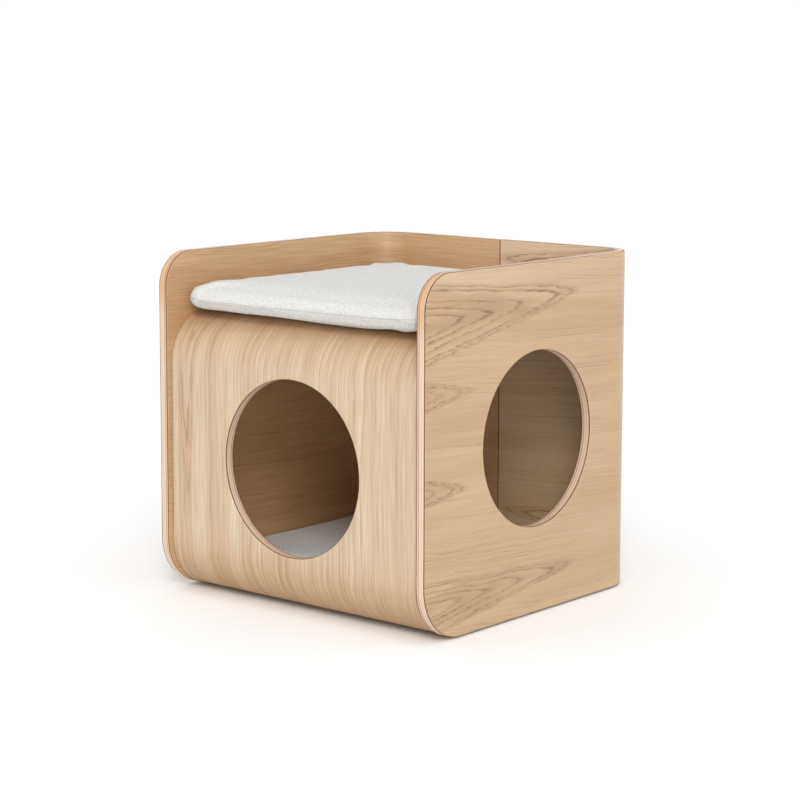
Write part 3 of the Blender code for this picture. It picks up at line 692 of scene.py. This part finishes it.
def make_wrap():
    """Saws, drills and presses the wrap, from the floor's back edge round to the shelf's."""
    bend = (WRAP_BEND, math.pi / 2)
    stretches = ((FLOOR_FLAT, 0), bend, (FRONT_FLAT, 0), bend, (FLOOR_FLAT, 0))
    blank = drilled(sawn_blank(wrap_loops()), wrap_bores())
    shape = pressed(blank, (wrap_high.y, wrap_low.z), math.pi, stretches)
    across_the_house = Matrix(((0, 0, 1), (1, 0, 0), (0, 1, 0)))
    piece = piece_from(stood(shape, across_the_house), "inner_wrap_veneered", wrap_veneer)
    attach(piece, "house")
    return piece


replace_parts(make_wrap(), "inner_wrap")

# The dowels, bolts, cams and foot pads
# Beech dowels line the sheets up. Steel bolts screwed into the shells are pulled in by zinc cams, which
# are turned with a screwdriver from below. Four felt pads are glued under the floor.


def fitting_material(name, metallic):
    """A material, its tree and shader, and the place on the object."""
    material = bpy.data.materials.new(name)
    material.use_nodes = True
    tree = material.node_tree
    shader = tree.nodes["Principled BSDF"]
    shader.inputs["Metallic"].default_value = metallic
    return material, tree, shader, add_node(tree, "TexCoord").outputs["Object"]


def finish_fitting(tree, shader, colour, roughness, relief, depth):
    """Links a fitting's colour and roughness, and its relief of the given depth."""
    tree.links.new(colour, shader.inputs["Base Color"])
    tree.links.new(roughness, shader.inputs["Roughness"])
    bump = add_node(tree, "Bump", Strength=0.4, Distance=depth, Height=relief)
    tree.links.new(bump.outputs["Normal"], shader.inputs["Normal"])


def beech_material():
    """Pinkish wood with short dark rays, and flutes along the dowel."""
    material, tree, shader, place = fitting_material("turned_beech", 0.0)
    fibre = grain_noise(tree, place, (60, 900, 900), 1, 3, 0.6)
    ray = grain_noise(tree, place, (220, 1500, 1500), 1, 1, 0.5)
    colour = graded(tree, fibre, ((0.3, (0.55, 0.36, 0.215)), (0.7, (0.72, 0.52, 0.34))))
    colour = mixed(tree, graded(tree, ray, ((0.62, 0.0), (0.72, 0.7))), colour, (0.33, 0.17, 0.08))
    finish_fitting(tree, shader, colour, graded(tree, fibre, ((0.0, 0.55), (1.0, 0.75))), fibre, 0.0002)
    return material


def steel_material():
    """Yellow-passivated steel with fine rings from the lathe."""
    material, tree, shader, place = fitting_material("turned_steel", 1.0)
    rings = grain_noise(tree, place, (4200, 60, 60), 1, 2, 0.6)
    tarnish = grain_noise(tree, place, (160, 160, 160), 1, 3, 0.6)
    colour = graded(tree, tarnish, ((0.3, (0.60, 0.54, 0.40)), (0.7, (0.74, 0.71, 0.62))))
    finish_fitting(tree, shader, colour, graded(tree, rings, ((0.2, 0.22), (0.8, 0.42))), rings, 0.00005)
    return material


def zinc_material():
    """Die-cast zinc: grey and slightly grainy."""
    material, tree, shader, place = fitting_material("cast_zinc", 1.0)
    grain = grain_noise(tree, place, (1, 1, 1), 2600, 3, 0.6)
    cloud = grain_noise(tree, place, (1, 1, 1), 240, 3, 0.6)
    colour = graded(tree, cloud, ((0.3, (0.50, 0.50, 0.49)), (0.7, (0.66, 0.66, 0.64))))
    finish_fitting(tree, shader, colour, graded(tree, grain, ((0.2, 0.36), (0.8, 0.58))), grain, 0.00008)
    return material


def felt_material():
    """Brown pressed wool: matted fibres in every direction."""
    material, tree, shader, place = fitting_material("pressed_felt", 0.0)
    fluff = grain_noise(tree, place, (1, 1, 1), 900, 5, 0.7)
    cloud = grain_noise(tree, place, (1, 1, 1), 130, 3, 0.6)
    light = calc(tree, "MULTIPLY_ADD", fluff, 0.7, calc(tree, "MULTIPLY", cloud, 0.3))
    colour = graded(tree, light, ((0.35, (0.17, 0.135, 0.105)), (0.65, (0.40, 0.345, 0.29))))
    finish_fitting(tree, shader, colour, graded(tree, fluff, ((0.0, 0.9), (1.0, 1.0))), fluff, 0.0006)
    shader.inputs["Sheen Weight"].default_value = 0.3
    return material


FITTING_FINISHES = (
    ("_dowel_", beech_material()), ("_bolt_", steel_material()), ("_cam_", zinc_material()),
    ("foot_pad_", felt_material()),
)
for node_name, node in nodes.items():
    for kind, finish in FITTING_FINISHES:
        if kind in node_name:
            node.material_slots[0].material = finish

# The cushions
# A loose pad lies in the tray and another on the cabin's floor. Each is two panels of heathered linen,
# sewn together round the middle of its side and filled with fibre, which swells both panels away from
# the seam. Where a pad rests on the sheet or on a wall it is pressed flat.
FIBRE_PRESSURE = 7
PUFF_FRAMES = 20
PANEL_GIVE = 0.004  # how far the filling can push a panel out
EXPECTED_GIVE = PANEL_GIVE * 0.7  # by which the blank is sewn thinner
SEAM_REACH = 0.003  # cloth that the seam holds in place
SEAM_PULL = 0.0006
SEAM_PULL_REACH = 0.0020
PUCKER = 0.0004
PUCKER_REACH = 0.009
PUCKER_WAVES = (90, 11, 40)
SLACK = 0.0003  # the panels' broad unevenness
SLACK_REACH = 0.012  # from the seam to where it is full
SLACK_WAVES = 14
PAD_CROWN = 0.0022
CROWN_REACH = 0.015
LOOSE_FIT = 0.0004  # how far a pad reaches past its solid's sides
LAID_ON = 0.0001  # above its solid's underside
RING_LEVELS = (-1, -0.985, -0.93, -0.8, -0.62, -0.4, -0.2, 0, 0.2, 0.45, 0.68, 0.85, 0.95, 0.99, 1)
UPPER_SQUARENESS = 3.0  # of each panel's section beside the seam: 2 is an ellipse
LOWER_SQUARENESS = 2.7
OVERHANG_START = wrap_low.y + WRAP_BEND_RADIUS  # in front of this the shelf bends down under the pad
CORNER_HOLD = 1.3  # how much of the sag the corners take away


def pad_outline(half, front, back, corner, back_corner, draw_in):
    """The seam's line in plan, anticlockwise, with its sides pulled in between the corners."""
    points = []
    for index, (side, end, radius) in enumerate(
        ((-1, front, corner), (1, front, corner), (1, back, back_corner), (-1, back, back_corner))
    ):
        inward = 1 if end == front else -1
        centre = Vector((side * (half - radius), end + inward * radius))
        points += arc(centre, radius, math.pi * (1 + index / 2), math.pi / 2, CORNER_STEPS // 2)
    middle = (front + back) / 2
    reach = (back - front) / 2
    for point in points:
        across, along = point.x / half, (point.y - middle) / reach
        point.x -= across * draw_in * (1 - along**2)
        point.y -= along * draw_in * (1 - across**2)
    return points


def pad_blank(outline, bottom, seam_height, seam, top, upper_roll, lower_roll):
    """The pad before it is filled: rings from the seam in to the two flat panels."""
    shape = bmesh.new()
    rings = []
    for level in RING_LEVELS:
        height = seam + (level * (top - seam) if level > 0 else level * (seam - bottom))
        roll, squareness = (upper_roll, UPPER_SQUARENESS) if level > 0 else (lower_roll, LOWER_SQUARENESS)
        inset = roll * (1 - (1 - abs(level) ** squareness) ** (1 / squareness))
        ring = [shape.verts.new((*point, height)) for point in drawn_in(outline, inset)]
        for vert in ring:
            vert.co.z += (seam_height(vert.co) - seam) * (1 - abs(level))
        rings.append(ring)
    for lower, upper in zip(rings, rings[1:]):
        for index in range(len(outline)):
            shape.faces.new((lower[index - 1], lower[index], upper[index], upper[index - 1]))
    shape.faces.new(rings[0])
    shape.faces.new(rings[-1])
    bmesh.ops.recalc_face_normals(shape, faces=shape.faces)
    return shape


def filled(piece, seam_height, voxel):
    """Remeshes the blank evenly and lets the filling's pressure swell it away from its seam."""
    remesh = piece.modifiers.new("even", "REMESH")
    remesh.mode = "VOXEL"
    remesh.voxel_size = voxel
    piece.data = evaluated(piece)
    piece.modifiers.remove(remesh)
    start = [vert.co.copy() for vert in piece.data.vertices]
    held = piece.vertex_groups.new(name="seam")
    for vert in piece.data.vertices:
        gap = abs(vert.co.z - seam_height(vert.co))
        if gap < SEAM_REACH:
            held.add([vert.index], 1 - gap / SEAM_REACH, "REPLACE")
    cloth = piece.modifiers.new("filling", "CLOTH")
    cloth.settings.quality = 5
    cloth.settings.use_pressure = True
    cloth.settings.uniform_pressure_force = FIBRE_PRESSURE
    cloth.settings.effector_weights.gravity = 0
    cloth.settings.vertex_group_mass = held.name
    cloth.point_cache.frame_end = PUFF_FRAMES
    for frame_number in range(1, PUFF_FRAMES + 1):
        bpy.context.scene.frame_set(frame_number)
    swollen = evaluated(piece)
    piece.modifiers.remove(cloth)
    piece.vertex_groups.clear()
    piece.data = swollen
    bpy.context.scene.frame_set(1)
    for vert, first in zip(swollen.vertices, start):
        push = vert.co - first
        if push.length > PANEL_GIVE:
            vert.co = first + push.normalized() * PANEL_GIVE
    finer = piece.modifiers.new("finer", "SUBSURF")
    finer.levels = 1
    piece.data = evaluated(piece)
    piece.modifiers.remove(finer)


def outward_from(out):
    """The level way out of a pad: square to its sides, and turning quickly at its corners."""
    way = Vector((math.copysign(abs(out.x) ** 9, out.x), math.copysign(abs(out.y) ** 9, out.y), 0))
    return way.normalized()


def near(distance, reach):
    """1 where the distance is none, falling off smoothly with the reach."""
    return math.exp(-((distance / reach) ** 2))


def make_pad(
    name, node, body, front, seam, top, rolls, corners, voxel, seam_rise=0, front_sag=0, corner_rise=0
):
    """Sews, fills and seats one pad, with the seam and the top at their heights over the ground.

    The rolls are how far the upper and the lower panel curve in beside the seam, and the corners are the
    front and the back ones' radius and the sides' draw-in. Over the shelf's bend the front sags, and its
    corners stay up.
    """
    low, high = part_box(node)
    half = high.x + LOOSE_FIT
    back = high.y + LOOSE_FIT
    bottom = low.z
    top -= PAD_CROWN
    give = EXPECTED_GIVE
    outline = pad_outline(half, front, back, *corners)

    def at_corner(point):
        """1 at the two front corners, fading to 0 away from them."""
        return abs(point.x / half) ** 4 * max(0, point.y / front) ** 4

    def seam_height(point):
        """The seam lies level, but rides up at the front corner beside the right shell."""
        return seam + (seam_rise * at_corner(point) if point.x > 0 else 0)

    piece = bpy.data.objects.new(name, bpy.data.meshes.new(name))
    bpy.context.scene.collection.objects.link(piece)
    blank = pad_blank(outline, bottom + give, seam_height, seam, top - give, *rolls)
    blank.to_mesh(piece.data)
    blank.free()
    filled(piece, seam_height, voxel)
    mesh = piece.data
    seam_gap = mesh.attributes.new("seam_gap", "FLOAT", "POINT")
    cloth_place = mesh.attributes.new("cloth_place", "FLOAT_VECTOR", "POINT")
    middle_y = (front + high.y) / 2
    for vert in mesh.vertices:
        point = vert.co
        gap = point.z - seam_height(point)
        out = Vector((point.x / half, (point.y - middle_y) / (high.y - middle_y)))
        rim = max(abs(out.x), abs(out.y))
        outward = outward_from(out)
        fall = (top - point.z if gap > 0 else point.z - bottom) * (0.9 if rim > 0.5 else 0)
        flat = point.xy + outward.xy * fall
        cloth_place.data[vert.index].vector = (flat.x, flat.y, 0.5 if gap > 0 else -0.5)
        seam_gap.data[vert.index].value = gap
        run = abs(point.x) - abs(point.y)
        folds = Vector((run * PUCKER_WAVES[0], run * PUCKER_WAVES[1], gap * PUCKER_WAVES[2]))
        pucker = noise.noise(folds) * near(gap, PUCKER_REACH)
        slack = noise.noise(Vector((point.x * SLACK_WAVES, point.y * SLACK_WAVES, 3 if gap > 0 else 7)))
        point += outward * (pucker * PUCKER - SEAM_PULL * near(gap, SEAM_PULL_REACH))
        point.z += slack * SLACK * min(1, abs(gap) / SLACK_REACH)
        overhang = min(1, max(0, (OVERHANG_START - point.y) / (OVERHANG_START - front)))
        sag = front_sag * overhang**1.5 * (1 - min(1, CORNER_HOLD * at_corner(point)))
        point.z -= sag * min(1, max(0, 0.3 - gap / 0.016))
        if gap > 0:
            point.z += PAD_CROWN * min(1, gap / CROWN_REACH) * (1 - out.x**2) * (1 - out.y**2)
        point.x = max(-half, min(half, point.x))
        point.y = min(back, point.y)
        point.z = max(bottom + LAID_ON - sag + corner_rise * at_corner(point), point.z)
    mesh.shade_smooth()
    mesh.materials.append(linen)
    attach(piece, body)
    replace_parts(piece, node)


THREAD = 0.0009  # from one thread to the next
LINEN_TONES = ((0.37, (0.43, 0.42, 0.405)), (0.50, (0.62, 0.615, 0.595)), (0.62, (0.72, 0.715, 0.70)))
SEAM_GREY = (0.36, 0.35, 0.34)
WEAVE_RELIEF = 0.0005


def linen_material():
    """Pale threads with greyer slubs in both directions, and the seam's uneven grey line."""
    material = bpy.data.materials.new("heathered_linen")
    material.use_nodes = True
    tree = material.node_tree
    shader = tree.nodes["Principled BSDF"]
    place = add_node(tree, "Attribute", {"attribute_name": "cloth_place"}).outputs["Vector"]
    gap = add_node(tree, "Attribute", {"attribute_name": "seam_gap"}).outputs["Fac"]
    across, along, _ = add_node(tree, "SeparateXYZ", Vector=place).outputs
    warp = grain_noise(tree, place, (1300, 170, 40), 1, 2, 0.6)
    weft = grain_noise(tree, place, (170, 1300, 40), 1, 2, 0.6)
    slub = calc(tree, "MAXIMUM", warp, weft)
    thin = calc(tree, "MINIMUM", warp, weft)
    cloud = grain_noise(tree, place, (70, 70, 40), 1, 3, 0.6)
    light = calc(tree, "MULTIPLY_ADD", slub, 0.55, calc(tree, "MULTIPLY", thin, 0.45))
    light = calc(tree, "MULTIPLY_ADD", cloud, 0.03, light)
    colour = graded(tree, light, LINEN_TONES)
    millimetres = calc(tree, "MULTIPLY", calc(tree, "ABSOLUTE", gap), 1000)
    line = graded(tree, millimetres, ((0.15, 1.0), (0.55, 0.0)))
    uneven = grain_noise(tree, place, (60, 60, 0), 1, 2)
    line = calc(tree, "MULTIPLY", line, graded(tree, uneven, ((0.35, 0.25), (0.65, 0.8))))
    colour = mixed(tree, line, colour, SEAM_GREY)
    tree.links.new(colour, shader.inputs["Base Color"])
    warp_wave = calc(tree, "SINE", calc(tree, "MULTIPLY", across, 2 * math.pi / THREAD))
    weft_wave = calc(tree, "SINE", calc(tree, "MULTIPLY", along, 2 * math.pi / THREAD))
    weave = calc(tree, "MULTIPLY", warp_wave, weft_wave)
    relief = calc(tree, "MULTIPLY_ADD", weave, 0.35, calc(tree, "MULTIPLY", slub, 1.2))
    relief = calc(tree, "MULTIPLY_ADD", line, -2.0, relief)
    bump = add_node(tree, "Bump", Strength=0.35, Distance=WEAVE_RELIEF, Height=relief)
    tree.links.new(bump.outputs["Normal"], shader.inputs["Normal"])
    shader.inputs["Roughness"].default_value = 0.92
    shader.inputs["Sheen Weight"].default_value = 0.15
    shader.inputs["Sheen Roughness"].default_value = 0.5
    shader.inputs["Specular IOR Level"].default_value = 0.2
    return material


linen = linen_material()
make_pad(
    "linen_top_pad", "top_cushion", "top_cushion", front=-0.185, seam=0.347, top=0.3665,
    rolls=(0.017, 0.019), corners=(0.031, 0.045, 0.0015), voxel=0.0045,
    seam_rise=0.004, front_sag=0.0042, corner_rise=0.016,
)
make_pad(
    "linen_floor_pad", "floor_cushion", "house", front=-0.142, seam=0.032, top=0.0495,
    rolls=(0.024, 0.024), corners=(0.040, 0.045, 0.0015), voxel=0.006,
)

# The stage
# A plain white floor without an edge in sight, under a broad soft light from above and a large window
# to the right of the front. One low lamp reaches in through the doorways and streaks the tray's bends.
FLOOR_SIZE = 240
FLOOR_WHITE = (0.92, 0.92, 0.92, 1)
# Each sun's name, the way to it, how wide it is in degrees, and its strength
SUNS = (("overhead", (0.15, -0.30, 1), 75, 0.72), ("window", (1.6, -1.9, 1.8), 21, 1.25))
LAMP_PLACE = Vector((2.2, -1.8, 0.75))
LAMP_AIM = Vector((0, 0, 0.2))
LAMP_WATTS = 12
LAMP_SIZE = 0.9
SKY_BY_HEIGHT = ((0.0, 1.0), (0.04, 1.0), (0.12, 0.62), (1.0, 0.68))
SKY_STRENGTH = 1.05

floor_shape = bmesh.new()
bmesh.ops.create_grid(floor_shape, x_segments=1, y_segments=1, size=FLOOR_SIZE / 2)
floor_mesh = bpy.data.meshes.new("studio_floor")
floor_shape.to_mesh(floor_mesh)
floor_shape.free()
studio_floor = bpy.data.objects.new("studio_floor", floor_mesh)
bpy.context.scene.collection.objects.link(studio_floor)
floor_paint = bpy.data.materials.new("white_floor")
floor_paint.use_nodes = True
paint_shader = floor_paint.node_tree.nodes["Principled BSDF"]
paint_shader.inputs["Base Color"].default_value = FLOOR_WHITE
paint_shader.inputs["Roughness"].default_value = 0.9
floor_mesh.materials.append(floor_paint)

for sun_name, toward, spread, strength in SUNS:
    sun_data = bpy.data.lights.new(sun_name, "SUN")
    sun_data.energy = strength
    sun_data.angle = math.radians(spread)
    sun = bpy.data.objects.new(sun_name, sun_data)
    sun.rotation_euler = Vector(toward).to_track_quat("Z", "Y").to_euler()
    bpy.context.scene.collection.objects.link(sun)

lamp_data = bpy.data.lights.new("front_lamp", "AREA")
lamp_data.energy = LAMP_WATTS
lamp_data.size = LAMP_SIZE
lamp = bpy.data.objects.new("front_lamp", lamp_data)
lamp.location = LAMP_PLACE
lamp.rotation_euler = (LAMP_PLACE - LAMP_AIM).to_track_quat("Z", "Y").to_euler()
bpy.context.scene.collection.objects.link(lamp)

bpy.context.scene.view_settings.view_transform = "Standard"
world = bpy.data.worlds.new("studio")
world.use_nodes = True
sky = world.node_tree
sky_place = add_node(sky, "TexCoord").outputs["Generated"]
height = add_node(sky, "SeparateXYZ", Vector=sky_place).outputs[2]
walls = graded(sky, height, SKY_BY_HEIGHT)
sky.links.new(walls, sky.nodes["Background"].inputs["Color"])
sky.nodes["Background"].inputs["Strength"].default_value = SKY_STRENGTH
bpy.context.scene.world = world
